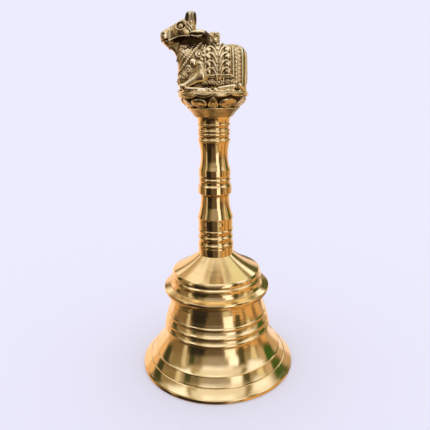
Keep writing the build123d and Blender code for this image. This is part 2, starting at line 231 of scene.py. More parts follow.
class Outline:
    """A turned outline as (radius, height) points, drawn in one stroke."""

    def __init__(self, *points):
        self.points = [np.array(p, float) for p in points]

    def line(self, *ends):
        self.points += [np.array(p, float) for p in ends]

    def arc(self, end, bulge, steps=24):
        """An arc that stands off its chord by bulge, to the left of travel if that is positive."""
        start, end = self.points[-1], np.array(end, float)
        chord = end - start
        left = np.array((-chord[1], chord[0])) / np.hypot(*chord)
        half = np.hypot(*chord) / 2
        radius = (half**2 + bulge**2) / (2 * abs(bulge))
        sweep = math.asin(min(1.0, half / radius))
        middle = (start + end) / 2
        for t in np.linspace(-1, 1, steps + 1)[1:]:
            rise = radius * (math.cos(t * sweep) - math.cos(sweep))
            run = radius * math.sin(t * sweep)
            self.points.append(middle + chord / (2 * half) * run + left * rise * math.copysign(1, bulge))

    def bead(self, crest, half_height, depth=0.32):
        """A round bead, drawn upwards through its crest."""
        r, z = crest
        self.line((r - depth, z - half_height))
        self.arc((r - depth, z + half_height), -depth, 10)


def soften(points, radius):
    """Rounds every sharp corner of an outline by a small chamfer with three facets."""
    points = [p for p, q in zip(points, [None] + points[:-1]) if q is None or np.hypot(*(p - q)) > 1e-4]
    out = [points[0]]
    for before, here, after in zip(points[:-2], points[1:-1], points[2:]):
        a, b = before - here, after - here
        length_a, length_b = np.hypot(*a), np.hypot(*b)
        turn = math.degrees(math.acos(np.clip(-(a @ b) / (length_a * length_b), -1, 1)))
        if turn < 14:
            out.append(here)
            continue
        p = here + a / length_a * min(radius, length_a * 0.4)
        q = here + b / length_b * min(radius, length_b * 0.4)
        for t in (0, 0.33, 0.67, 1):
            out.append((1 - t) ** 2 * p + 2 * t * (1 - t) * here + t**2 * q)
    out.append(points[-1])
    return out


def resample(points, step):
    """Divides long stretches, and drops points that coincide."""
    out = [points[0]]
    for end in points[1:]:
        start = out[-1]
        span = np.hypot(*(end - start))
        if span < 1e-4:
            continue
        parts = max(1, math.ceil(span / step))
        out += [start + (end - start) * k / parts for k in range(1, parts + 1)]
    return np.array(out)


def run_length(points):
    """How far along a line of points each of them lies."""
    return np.concatenate([[0], np.cumsum(np.hypot(*np.diff(points, axis=0).T))])


def outline_normals(points):
    along = np.gradient(points, axis=0)
    normals = np.stack([along[:, 1], -along[:, 0]], 1)
    return normals / np.linalg.norm(normals, axis=1, keepdims=True)


def outline_cavity(points, reach=0.7):
    """How hollow the outline is at each point: positive in a groove, negative on a crest."""
    run = run_length(points)
    beside = [np.interp(run + away, run, points[:, k]) for away in (-reach, reach) for k in (0, 1)]
    middle = np.stack([beside[0] + beside[2], beside[1] + beside[3]], 1) / 2
    return ((middle - points) * outline_normals(points)).sum(1)


def tool_marks(points, seed, amount, rough_z):
    """Moves an outline along its normal by a tool's ripple, which is deeper between two heights."""
    random = np.random.default_rng(seed)
    run = run_length(points)
    ripple = np.zeros(len(points))
    for wave in (0.55, 0.8, 1.3, 2.1, 3.4):
        phase = random.uniform(0, 2 * np.pi)
        ripple += wave * np.sin(2 * np.pi * run / wave + phase) * random.uniform(0.5, 1)
    rough = np.clip(np.minimum(points[:, 1] - rough_z[0], rough_z[1] - points[:, 1]), 0, 1)
    fade = np.clip(points[:, 1] - 0.5, 0, 1) * (1 + 3.2 * rough)
    return points + outline_normals(points) * (ripple * fade * amount)[:, None]


def round_faces(rings, around, closed=True):
    """Quads over rings of points. If closed, the last ring joins the first."""
    index = np.arange(rings * around).reshape(rings, around)
    above = np.roll(index, -1, axis=0)
    faces = np.stack([index, np.roll(index, -1, axis=1), np.roll(above, -1, axis=1), above], -1)
    return (faces if closed else faces[:-1]).reshape(-1, 4).tolist()


def turn(name, points, segments, material, closed, cavity):
    """Revolves an outline about Z. Its open ends, if any, lie on the axis."""
    angles = np.arange(segments) * 2 * np.pi / segments
    r, z = points[:, 0][:, None], points[:, 1][:, None]
    grid = np.stack([r * np.cos(angles), r * np.sin(angles), z + 0 * angles], -1)
    faces = round_faces(len(points), segments, closed)
    piece = make_piece(name, grid.reshape(-1, 3), faces, material, cavity=np.repeat(cavity, segments))
    if not closed:
        weld = piece.modifiers.new("weld", "WELD")
        weld.merge_threshold = 1e-6
    return piece


def cup_outline():
    """The cup from the lip up its outside, down through the crown's hole and down its inside."""
    cup = Outline((34.4, 0.0), (37.5, 0.0), (37.8, 0.3), (37.7, 1.6), (37.3, 2.1))
    cup.arc((34.15, 5.08), 0.1)
    cup.line((33.75, 5.12), (33.65, 5.5))
    cup.arc((31.45, 9.1), 0.1)
    cup.line((31.45, 9.45), (31.1, 9.65))
    cup.arc((25.7, 20.1), 1.0, 40)
    cup.bead((26.2, 21.0), 0.9, 0.5)
    cup.arc((25.0, 23.5), 0.15)
    cup.bead((25.5, 24.4), 0.9, 0.5)
    cup.arc((23.9, 27.4), 0.15)
    cup.bead((24.4, 28.3), 0.9, 0.5)
    cup.arc((22.6, 37.4), 0.3)
    cup.arc((25.45, 40.0), -0.45)
    cup.arc((25.5, 41.6), -0.25)
    cup.line((22.4, 42.3))
    cup.arc((21.9, 46.6), 0.5)
    cup.line((21.3, 47.2))
    cup.arc((20.7, 49.9), -0.4)
    cup.arc((8.4, 57.6), 0.5, 40)
    cup.line((2.7, 57.6), (2.7, 53.6), (9.0, 53.6), (17.0, 47.0))
    cup.arc((19.6, 41.5), 0.6)
    cup.arc((22.3, 21.4), -0.4)
    cup.arc((27.6, 10.0), -0.6)
    cup.line((31.8, 3.2), (34.4, 0.0))
    return cup.points


def handle_outline():
    """The handle from the top of its lower tapped hole round to the bottom of its upper one."""
    handle = Outline((0.0, 79.0), (STUD_HOLE, 79.0), (STUD_HOLE, 57.6), (8.35, 57.6), (8.35, 61.2))
    handle.bead((8.5, 62.5), 0.8)
    handle.arc((8.03, 65.3), 0.25)
    handle.bead((8.35, 66.1), 0.8)
    handle.arc((8.03, 68.6), 0.25)
    handle.bead((8.35, 69.4), 0.8)
    handle.line((8.08, 70.6), (8.15, 75.2), (8.42, 75.7))
    handle.arc((6.65, 86.6), 0.55, 32)
    handle.line((7.4, 87.1), (7.85, 87.5), (7.7, 90.8), (7.15, 91.6), (7.08, 92.4))
    handle.bead((7.4, 93.7), 0.8)
    handle.line((7.08, 95.0), (7.32, 95.6), (7.32, 98.3), (6.7, 100.1))
    handle.arc((7.0, 110.6), 0.61, 32)
    handle.bead((7.36, 111.6), 0.6)
    handle.arc((6.98, 113.6), 0.2)
    handle.bead((7.3, 114.2), 0.6)
    handle.bead((7.3, 115.7), 0.6)
    handle.arc((7.04, 117.9), 0.2)
    handle.bead((7.36, 118.5), 0.6)
    handle.arc((7.85, 122.0), 0.2)
    handle.line((STUD_HOLE, 122.0), (STUD_HOLE, 109.0), (0.0, 109.0))
    return handle.points


CROWN_EDGE_Z = 49.8  # above it the cup's outside is the cone of the crown
CORNER_RADIUS = 0.12
TOOL_RIPPLE = 0.0009


def make_turned(name, outline, seed, segments, closed, material, rough_z):
    points = resample(soften(outline, CORNER_RADIUS), 0.25)
    cavity = outline_cavity(points)
    points = tool_marks(points, seed, TOOL_RIPPLE, rough_z)
    if closed:
        points, cavity = points[:-1], cavity[:-1]
    return turn(name, points, segments, material, closed, cavity)


brass = turned_brass("turned_brass", rgb(0.90, 0.70, 0.40), rgb(0.66, 0.47, 0.22), 0.12, 0.86)
brushed_brass = turned_brass(
    "brushed_brass", rgb(0.90, 0.69, 0.38), rgb(0.80, 0.58, 0.28), 0.15, anisotropy=0.96, ring_marks=0.10
)
brass_handle = turned_brass("turned_brass_handle", rgb(0.88, 0.66, 0.35), rgb(0.54, 0.35, 0.14), 0.06)
bronze = cast_brass("cast_brass")
steel = dull_steel("dull_steel")
ball_brass = turned_brass("clapper_brass", rgb(0.70, 0.50, 0.24), rgb(0.42, 0.27, 0.11), 0.22)

cup = make_turned("cup", cup_outline(), 11, 288, True, brass, rough_z=(29.0, 38.0))
settle(cup, "bell_cup")
# The cone of the crown, inside its edge, is brushed.
cup.data.materials.append(brushed_brass)
for face in cup.data.polygons:
    if face.center.z > CROWN_EDGE_Z * MM and face.normal.z > 0.3:
        face.material_index = 1
handle_segments = 192
handle = make_turned(
    "handle", handle_outline(), 12, handle_segments, False, brass_handle, rough_z=(70.0, 82.0)
)
settle(handle, "handle_shaft")

# ------------------------------------------ sculpted parts


def blend_min(a, b, soft):
    """The union of two distance fields, with a fillet about soft wide."""
    if soft <= 0:
        return np.minimum(a, b)
    near = np.maximum(soft - np.abs(a - b), 0) / soft
    return np.minimum(a, b) - near**2 * soft / 4


def blend_max(a, b, soft):
    return -blend_min(-a, -b, soft)


def length(*parts):
    return np.sqrt(sum(p**2 for p in parts))


def smooth_step(value, low, high):
    t = np.clip((value - low) / (high - low), 0, 1)
    return t * t * (3 - 2 * t)


def over(value):
    """What stands above zero."""
    return np.maximum(value, 0)


def from_line(point, a, b):
    """How far a point lies along the line from a to b, from 0 to 1, and how far from it."""
    run = [q - p for p, q in zip(a, b)]
    t = sum((c - p) * r for c, p, r in zip(point, a, run)) / sum(r**2 for r in run)
    t = np.clip(t, 0, 1)
    return t, length(*(c - p - t * r for c, p, r in zip(point, a, run)))


def polygon_distance(u, v, corners):
    """Signed distance from the points (u, v) to a closed polygon, negative inside."""
    distance = np.full(np.broadcast(u, v).shape, 1e9)
    inside = np.zeros(distance.shape, bool)
    for a, b in zip(corners, corners[1:] + corners[:1]):
        distance = np.minimum(distance, from_line((u, v), a, b)[1])
        if b[1] != a[1]:
            crossing = (v - a[1]) / (b[1] - a[1]) * (b[0] - a[0]) + a[0]
            inside ^= ((a[1] > v) != (b[1] > v)) & (u < crossing)
    return np.where(inside, -distance, distance)


def ellipsoid(x, y, z, centre, radii):
    a = length(*((p - c) / r for p, c, r in zip((x, y, z), centre, radii)))
    b = length(*((p - c) / r**2 for p, c, r in zip((x, y, z), centre, radii)))
    return a * (a - 1) / np.maximum(b, 1e-6)


def capsule(x, y, z, a, b, radius_a, radius_b):
    """A round bar between two points, thicker at one end."""
    t, away = from_line((x, y, z), a, b)
    return away - (radius_a + (radius_b - radius_a) * t)


class Relief:
    """A map of how far ornament stands proud, over a surface unrolled to (u, z)."""

    def __init__(self, low, high, step):
        self.u = np.arange(low[0], high[0], step)[:, None]
        self.z = np.arange(low[1], high[1], step)[None, :]
        self.height = np.zeros((self.u.size, self.z.size))
        self.step = step

    def near(self, centre, reach):
        """The part of the map within reach of a point."""
        spans = []
        for middle, start in zip(centre, (self.u[0, 0], self.z[0, 0])):
            first = int((middle - reach - start) / self.step)
            last = int((middle + reach - start) / self.step)
            spans.append(slice(max(0, first), max(0, last + 2)))
        return tuple(spans)

    def raise_to(self, area, height):
        self.height[area] = np.maximum(self.height[area], height)

    def dome(self, centre, radius, height, base=0.0):
        area = self.near(centre, radius)
        away = length(self.u[area[0]] - centre[0], self.z[:, area[1]] - centre[1]) / radius
        self.raise_to(area, np.where(away < 1, base + height * np.sqrt(over(1 - away**2)), 0))

    def beside(self, a, b, reach):
        """The map near the line from a to b, with how far along it and how far from it each cell is."""
        area = self.near([(p + q) / 2 for p, q in zip(a, b)], math.dist(a, b) / 2 + reach)
        return area, *from_line((self.u[area[0]], self.z[:, area[1]]), a, b)

    def stroke(self, points, width, height, end_width=None):
        """A round-topped line through the points, tapering to end_width."""
        end_width = width if end_width is None else end_width
        count = len(points) - 1
        for n, (a, b) in enumerate(zip(points[:-1], points[1:])):
            area, t, away = self.beside(a, b, width)
            away = away / (width + (end_width - width) * (n + t) / count)
            self.raise_to(area, height * np.sqrt(over(1 - away**2)))

    def groove(self, points, width, depth):
        """A valley along the points, cut into whatever stands there."""
        for a, b in zip(points[:-1], points[1:]):
            area, _, away = self.beside(a, b, width)
            self.height[area] -= np.where(away < width, depth * (1 - smooth_step(away, 0, width)), 0)

    def beads(self, points, pitch, radius, height):
        """A string of round beads, evenly spaced along the points."""
        points = np.array(points, float)
        run = run_length(points)
        for s in np.arange(pitch / 2, run[-1], pitch):
            self.dome([np.interp(s, run, points[:, k]) for k in (0, 1)], radius, height)

    def sample(self, u, z):
        """Heights at points given as arrays of u and z."""
        return look_up(self.height, ((u - self.u[0, 0]) / self.step, (z - self.z[0, 0]) / self.step))


def blur(field, cells):
    """A box blur along all three axes, twice."""
    for _ in range(2):
        for axis in range(3):
            margins = [(cells + 1, cells) if k == axis else (0, 0) for k in range(3)]
            padded = np.pad(field, margins, mode="edge")
            total = np.cumsum(padded, axis=axis, dtype=np.float64)
            high = np.take(total, range(2 * cells + 1, total.shape[axis]), axis=axis)
            low = np.take(total, range(0, total.shape[axis] - 2 * cells - 1), axis=axis)
            field = (high - low) / (2 * cells + 1)
    return field


def surface(field, low, voxel):
    """Surface nets: a point in each cell that the field's zero crosses, a quad for each crossed edge."""
    cells = tuple(n - 1 for n in field.shape)
    total = np.zeros(cells + (3,))
    count = np.zeros(cells)
    crossed = []
    for axis in range(3):
        a = np.take(field, range(0, field.shape[axis] - 1), axis=axis)
        b = np.take(field, range(1, field.shape[axis]), axis=axis)
        edge = np.argwhere((a < 0) != (b < 0))
        va, vb = a[tuple(edge.T)], b[tuple(edge.T)]
        point = edge.astype(float)
        point[:, axis] += va / (va - vb)
        u, v = (axis + 1) % 3, (axis + 2) % 3
        inner = (edge[:, u] > 0) & (edge[:, v] > 0) & (edge[:, u] < cells[u]) & (edge[:, v] < cells[v])
        edge, point, outward = edge[inner], point[inner], (va < 0)[inner]
        around = []
        for du, dv in ((0, 0), (-1, 0), (-1, -1), (0, -1)):
            cell = edge.copy()
            cell[:, u] += du
            cell[:, v] += dv
            np.add.at(total, tuple(cell.T), point)
            np.add.at(count, tuple(cell.T), 1)
            around.append(np.ravel_multi_index(tuple(cell.T), cells))
        quads = np.stack(around, 1)
        quads[~outward] = quads[~outward][:, ::-1]
        crossed.append(quads)
    used = np.flatnonzero(count.ravel())
    index = np.zeros(count.size, int)
    index[used] = np.arange(used.size)
    vertices = total.reshape(-1, 3)[used] / count.ravel()[used, None]
    return vertices * voxel + low, index[np.concatenate(crossed)], vertices


def largest_shell(vertices, faces, cells):
    """Leaves out small loose shells, such as bubbles inside the casting."""
    label = np.arange(len(vertices))
    while True:
        joined = label.copy()
        np.minimum.at(joined, faces, label[faces].min(axis=1)[:, None])
        joined = joined[joined]
        if np.array_equal(joined, label):
            break
        label = joined
    kept = label == np.bincount(label).argmax()
    index = np.cumsum(kept) - 1
    return vertices[kept], index[faces[kept[faces[:, 0]]]], cells[kept]


def look_up(field, places):
    """The field's values between its cells, at places given in cells along each axis."""
    places = [np.clip(place, 0, size - 1.001) for place, size in zip(places, field.shape)]
    bases = [place.astype(int) for place in places]
    value = 0
    for corner in np.ndindex((2,) * field.ndim):
        weight = 1
        for place, base, next_one in zip(places, bases, corner):
            weight = weight * (place - base if next_one else 1 - (place - base))
        value = value + weight * field[tuple(base + step for base, step in zip(bases, corner))]
    return value


def cast(name, field, low, voxel, material, shade_places=()):
    """Turns a distance field into a cast piece, with its hollows for the patina, and painted shade in
    its broad recesses and the places given.
    """
    vertices, faces, cells = largest_shell(*surface(field, low, voxel))
    near = np.clip(field, -1.5, 1.5)
    fine = look_up(blur(near, max(1, round(0.35 / voxel))), cells.T)
    broad = look_up(blur(near, max(2, round(0.9 / voxel))), cells.T)
    cavity = -(fine / 0.30 + broad / 0.9) / 2
    # Painted shade: the deeper the broad recess, the darker, and darker still in the places given.
    hollow = -broad
    x, side, z = vertices[:, 0], np.abs(vertices[:, 1]), vertices[:, 2]
    for centre, radii, amount in shade_places:
        inside = -ellipsoid(x, side, z, centre, radii)
        hollow = np.maximum(hollow, amount * smooth_step(inside, -0.5, 0.6))
    return make_piece(name, vertices, faces.tolist(), material, cavity=cavity, hollow=hollow)


# ---------------------------------------------------- bull

PLINTH_CENTRE = -0.45
PLINTH_HALF = (15.25, 10.8)
PLINTH_CORNER = 9.2
TRUNK_HALF = (15.2, 9.5)
TRUNK_CORNER = 7.0
STEM_U = 2.2
GARLAND = [
    (-3.4, 150.6), (-5.7, 147.6), (-8.1, 144.4), (-10.4, 141.9), (-12.7, 139.5), (-15.6, 138.0),
    (-18.6, 137.1), (-21.2, 136.9),
]
# Beaded strings above the garland, as (distance from it, bead radius, height).
NECKLACES = ((2.7, 0.60, 0.66), (4.6, 0.60, 0.24), (6.3, 0.70, 0.30), (8.0, 0.60, 0.20))
KNOTS = ((-3.75, 148.6, 0.75), (-3.9, 147.1, 0.80), (-4.5, 145.5, 0.90), (-5.1, 143.9, 0.95))
LEAF_ROWS = (140.8, 143.7, 146.7, 149.6)
# Painted shade, on both sides, as (centre, radii, how strong): horns, muzzle, throat, ear, chest, legs.
PAINTED_SHADE_PLACES = [
    ((-9.0, 3.4, 163.0), (3.4, 2.8, 2.9), 0.50),
    ((-10.4, 3.4, 162.6), (1.1, 2.6, 2.9), 0.85),
    ((-8.35, 3.6, 163.0), (0.42, 2.4, 2.4), 0.70),
    ((-7.0, 3.4, 162.6), (0.62, 2.6, 3.0), 0.85),
    ((-20.9, 2.8, 156.1), (1.0, 1.2, 1.4), 0.60),
    ((-10.8, 4.6, 153.3), (6.9, 2.8, 2.0), 0.95),
    ((-2.9, 4.4, 154.2), (2.4, 2.6, 3.4), 0.66),
    ((-7.2, 5.9, 155.75), (3.2, 1.4, 0.60), 0.85),
    ((-15.2, 6.5, 146.8), (1.6, 4.5, 5.0), 0.52),
    ((-1.5, 9.6, 134.9), (4.6, 1.4, 1.0), 0.95),
]


def rounded_plan(along, side, half, corner):
    """Distance to a rounded rectangle, from its middle."""
    past = [over(p - h + corner) for p, h in zip((along, side), half)]
    return length(*past) - corner


def unrolled(x, y):
    """How far round the trunk a point lies: x along the flank, then on round to the chest or rump."""
    turn_x = TRUNK_HALF[0] - TRUNK_CORNER
    turn_y = TRUNK_HALF[1] - TRUNK_CORNER
    along = x - PLINTH_CENTRE
    past = over(np.abs(along) - turn_x)
    side = over(np.abs(y) - turn_y)
    angle = np.arctan2(past, np.maximum(side, 1e-9))
    beyond = np.where(past > 0, TRUNK_CORNER * angle, 0)
    beyond = beyond + np.where((np.abs(y) < turn_y) & (past > 0), turn_y - np.abs(y), 0)
    return PLINTH_CENTRE + np.sign(along) * (np.minimum(np.abs(along), turn_x) + beyond)


def rosette(relief, centre, radius, turned):
    """A plump flower worn down to a boss with a curl in it."""
    relief.dome(centre, radius, 0.80, 0.12)
    curl = []
    for k in range(15):
        angle = 2 * math.pi * (k / 12 + turned)
        out = radius * (0.30 + 0.028 * k)
        curl.append((centre[0] + out * math.cos(angle), centre[1] + out * math.sin(angle)))
    relief.groove(curl, 0.30, 0.34)


def leaf(relief, side, z):
    """One leaf of the saddle cloth's tree: it springs from the stem, arches over and hangs in a lobe."""

    def curve(points):
        return [(STEM_U + side * u, z + v) for u, v in points]

    arch = [(0.5, -2.7), (1.1, -0.9), (1.8, 0.45), (2.6, 1.15), (3.5, 1.3), (4.3, 0.9), (4.7, 0.2)]
    relief.stroke(curve(arch), 0.64, 1.05, 0.56)
    relief.stroke(curve([(0.8, -3.3), (1.6, -1.8), (2.4, -0.6)]), 0.42, 0.75, 0.30)
    relief.dome((STEM_U + side * 3.95, z - 0.25), 1.22, 0.85, 0.25)


def ornament():
    """The garland, necklaces, saddle cloth, fringe and rosettes, over the unrolled trunk."""
    relief = Relief((-24.0, 132.0), (23.5, 157.0), 0.1)
    # Garland of medallions, which goes on round the chest. The third is a plain boss.
    for n, centre in enumerate(GARLAND):
        if n == 2:
            relief.dome(centre, 1.70, 1.15, 0.1)
        else:
            rosette(relief, centre, 1.65 if n else 1.35, 0.3 * n)
    line = np.array(GARLAND)
    for offset, radius, height in NECKLACES:
        relief.beads(line + np.array((-0.62, 0.78)) * offset, 1.75 * radius, radius, height)
    # The cord of knots that hangs between the garland and the cloth.
    for u, z, radius in KNOTS:
        relief.dome((u, z), radius, 0.90, 0.1)
    # Saddle cloth: a double border, then a tree of four pairs of leaves.
    left, right, low, high = -3.1, 8.55, 138.65, 151.6
    across = slice(*np.searchsorted(relief.u[:, 0], (left, right)))
    upright = slice(*np.searchsorted(relief.z[0], (low, high)))
    relief.raise_to((across, upright), 0.22)
    relief.stroke([(left, high), (left, low), (right, low), (right, high)], 0.62, 0.85)
    relief.stroke([(left + 0.8, low + 0.55), (right - 0.9, low + 0.55)], 0.42, 1.05)
    relief.stroke([(right - 1.05, low + 0.9), (right - 1.05, high)], 0.34, 0.60)
    relief.stroke([(STEM_U, low + 1.0), (STEM_U, 144.0), (STEM_U, 150.6)], 1.55, 0.85, 0.45)
    relief.groove([(STEM_U, low + 1.2), (STEM_U, 149.0)], 0.34, 0.26)
    for z in LEAF_ROWS:
        for side in (-1, 1):
            leaf(relief, side, z)
    for side in (-1, 1):
        shoot = [(STEM_U + side * u, z) for u, z in ((0.3, 149.4), (1.1, 151.3), (2.3, 152.4))]
        relief.stroke(shoot, 0.48, 0.9, 0.30)
    relief.dome((STEM_U, 151.9), 0.80, 0.9)
    # Fringe behind the cloth: two columns of worn beads.
    for u, start in ((10.1, 133.9), (11.7, 134.6)):
        relief.beads([(u, start), (u, 151.6)], 1.6, 0.85, 0.28)
    # Rosettes and tassels hung under the cloth.
    for n, centre in enumerate(((-3.4, 136.5), (-0.5, 136.3), (2.5, 136.3), (6.2, 136.4), (8.4, 136.4))):
        rosette(relief, centre, 1.55 if n < 3 else 1.20, 0.3 * n)
    relief.beads([(4.4, 134.3), (4.4, 137.9)], 0.95, 0.50, 0.75)
    # The bare rump, and the tail that hangs down it and ends in a tuft.
    relief.raise_to((slice(np.searchsorted(relief.u[:, 0], 12.7), None), slice(None)), 0.60)
    relief.stroke([(21.3, 151.0), (21.3, 140.0)], 0.9, 1.25, 0.6)
    relief.stroke([(21.3, 140.5), (21.3, 136.0)], 0.7, 1.35, 1.1)
    for shift in (0.0, -0.5):
        relief.groove([(21.2 + shift, 139.5), (21.2 + 1.4 * shift, 135.6)], 0.22, 0.25)
    return relief


# The bull's outlines: from the side as (x, z), the trunk's end as (y, z), the head's plan as (x, y).
TRUNK_SIDE = [
    (-15.9, 132.9), (14.9, 132.9), (14.9, 146.6), (14.3, 148.4), (13.0, 150.0), (10.7, 151.5),
    (7.0, 152.4), (3.0, 153.1), (-3.0, 153.4), (-9.0, 152.6), (-13.5, 150.2), (-15.9, 147.3),
]
TRUNK_END = [(9.3, 132.0), (9.7, 141.0), (9.1, 146.5), (7.6, 149.9), (4.6, 152.4), (0.0, 153.9)]
HEAD_SIDE = [
    (-21.5, 153.7), (-21.75, 155.0), (-21.7, 156.8), (-20.6, 157.8), (-18.0, 158.8),
    (-15.4, 160.4), (-12.0, 162.0), (-7.6, 161.0), (-6.9, 158.0), (-7.4, 154.2), (-13.0, 153.8),
    (-17.0, 152.4), (-19.8, 152.0),
]
HEAD_PLAN = [
    (-21.8, 1.9), (-21.2, 2.6), (-19.8, 2.9), (-17.4, 2.9), (-15.2, 3.6), (-13.2, 4.4),
    (-10.0, 4.6), (-6.8, 4.1),
]
DEWLAP = [
    (-20.9, 152.9), (-19.8, 151.5), (-17.7, 150.2), (-16.5, 149.0), (-15.7, 147.2),
    (-12.6, 146.0), (-10.6, 153.4), (-17.2, 153.8),
]
NECK = [
    (-15.5, 145.0), (-0.6, 145.0), (-0.6, 156.3), (-3.0, 156.5), (-7.4, 157.4), (-11.8, 156.5),
    (-13.9, 152.4),
]
EYE = (-12.95, 159.15)


def side_view(x, z, corners):
    """Distance to an outline drawn from the side, over the whole width."""
    return polygon_distance(x[:, 0, :], z[:, 0, :], corners)[:, None, :]


def bull_head(x, side, z):
    """The head's plain form, and the same with its cheek, brow, nostril and mouth."""
    flank = np.interp(x[:, 0, 0], *zip(*HEAD_PLAN))[:, None, None]
    head = blend_max(side_view(x, z, HEAD_SIDE), side - flank, 2.2)
    dewlap = blend_max(side_view(x, z, DEWLAP), side - 1.9, 1.4)
    skin = blend_min(head, dewlap, 0.8)
    for centre, radii, soft in (
        ((-12.4, 3.0, 157.0), (3.3, 2.0, 1.9), 0.9),
        ((-11.3, 3.1, 160.4), (2.4, 1.6, 1.2), 0.7),
        ((-20.3, 2.2, 155.2), (1.5, 1.2, 1.9), 0.5),
    ):
        skin = blend_min(skin, ellipsoid(x, side, z, centre, radii), soft)
    nostril = ellipsoid(x, side, z, (-20.75, 3.1, 156.35), (0.80, 0.75, 0.50))
    skin = blend_max(skin, -nostril, 0.25)
    mouth_z = 153.75 + 0.12 * (x + 21.5)
    mouth = length(z - mouth_z, over(x + 18.9), over(1.2 - side)) - 0.30
    return head, blend_max(skin, -mouth, 0.3)


def bull_eye(x, z):
    """How far the eye stands proud of the head, over (x, z)."""
    away = length((x - EYE[0]) / 2.05, (z - EYE[1] - 0.10 * (x - EYE[0])) / 1.55)
    lid = 0.55 * np.exp(-(((away - 1.05) / 0.20) ** 2))
    ball = 0.55 * np.sqrt(over(1 - (away / 0.58) ** 2))
    groove = -0.30 * np.exp(-(((away - 0.75) / 0.14) ** 2))
    return lid + ball + groove


def bridle(x, side, z, head, skin):
    """The straps: round the muzzle, along the cheek, twice over the brow and down the nose."""
    cheek_z = 155.0 - 0.020 * (x + 9.6) ** 2
    ends = np.maximum(x + 7.6, -18.4 - x)
    brow = (x + 10.35) * 0.74 + (z - 158.8) * 0.67
    brow_ends = np.maximum(156.0 - z, z - 161.1)
    return (
        blend_max(np.abs(x + 18.2 - 0.05 * (z - 155)) - 0.40, np.minimum(skin, head) - 0.46, 0.15),
        np.maximum(blend_max(np.abs(z - cheek_z) - 0.36, skin - 0.62, 0.15), ends),
        np.maximum(blend_max(np.abs(z - cheek_z + 0.95) - 0.34, skin - 0.40, 0.12), ends),
        blend_max(blend_max(np.abs(brow) - 0.34, skin - 0.58, 0.12), brow_ends, 0.3),
        blend_max(blend_max(np.abs(brow - 1.0) - 0.26, skin - 0.46, 0.12), brow_ends, 0.3),
        np.maximum(np.maximum(side - 0.42, head - 0.40), x + 13.4),
    )


def bull_legs(x, side, z):
    """Folded legs, bare of ornament."""
    arm = capsule(x, side, z, (-5.2, 6.6, 143.4), (-4.4, 7.6, 138.6), 2.7, 2.5)
    foreleg = capsule(x, side, z, (-4.9, 7.5, 138.9), (-11.8, 8.9, 135.3), 2.6, 1.1)
    foreleg = blend_min(foreleg, arm, 1.2)
    foreleg = blend_min(foreleg, ellipsoid(x, side, z, (-12.6, 8.2, 134.9), (1.7, 1.8, 1.4)), 0.6)
    shin = capsule(x, side, z, (-12.0, 9.0, 134.0), (-3.6, 9.8, 133.7), 0.90, 0.62)
    hind = capsule(x, side, z, (8.6, 9.2, 134.7), (2.4, 9.8, 134.0), 0.95, 0.65)
    leg = blend_min(foreleg, blend_min(shin, hind, 0.3), 0.25)
    for along, up, radius in ((-2.9, 133.9, 0.75), (-1.5, 133.5, 0.65), (0.9, 133.6, 0.85)):
        leg = blend_min(leg, length(x - along, side - 9.8, z - up) - radius, 0.2)
    hoof = capsule(x, side, z, (11.2, 8.6, 135.0), (13.2, 7.0, 132.9), 0.95, 0.80)
    return blend_min(leg, hoof, 0.5)


def bull_hump(x, side, z):
    """The hump under its cover, studded with bosses."""
    past = (np.abs(x - 0.6) - 1.45, side - 2.9, np.abs(z - 153.5) - 2.35)
    hump = length(*(over(p) for p in past)) - 0.75
    bosses = [(1.3, 3.75, 153.2, 1.05), (2.55, 3.6, 155.3, 0.52)]
    bosses += [(-0.3, 3.6, 155.2, 0.55), (-0.6, 3.6, 153.0, 0.50)]
    bosses += [(along, 3.5, 156.2, 0.42) for along in (0.0, 1.2, 2.4)]
    bosses += [(2.85, across, up, 0.50) for across in (0.0, 1.25, 2.5) for up in (153.4, 154.6, 155.8)]
    bosses += [(along, across, 156.55, 0.45) for along in (-0.5, 0.7, 1.9) for across in (0.0, 1.2, 2.4)]
    for bx, by, bz, radius in bosses:
        hump = blend_min(hump, length(x - bx, side - by, z - bz) - radius, 0.10)
    return hump


def bull_horns(x, side, z):
    """Short stout horns, drawn together and cut flat at the tips."""
    rise = np.clip((z - 160.3) / 4.5, 0, 1)
    fore = (x + 9.35 - 0.80 * rise) / (2.72 - 0.62 * rise)
    across = (side - 2.6 + 0.35 * rise) / (2.15 - 0.30 * rise)
    horn = (length(fore, across) - 1) * 2.0
    horn = blend_max(horn, z - 164.8, 1.3)
    # A plait of hair on the poll carries them.
    poll = ellipsoid(x, side, z, (-8.6, 2.2, 159.3), (1.9, 2.2, 2.0))
    return blend_min(blend_max(horn, 160.0 - z, 0.6), poll, 0.25)


def bull_ear(x, side, z):
    """A hollow leaf laid back along the neck, thicker along its upper rim."""
    ear = ellipsoid(x, side, z, (-5.7, 5.0, 155.9), (3.9, 1.45, 1.65))
    hollow = ellipsoid(x, side, z, (-7.4, 6.5, 155.65), (3.9, 1.20, 0.62))
    return blend_max(ear, -hollow, 0.35)


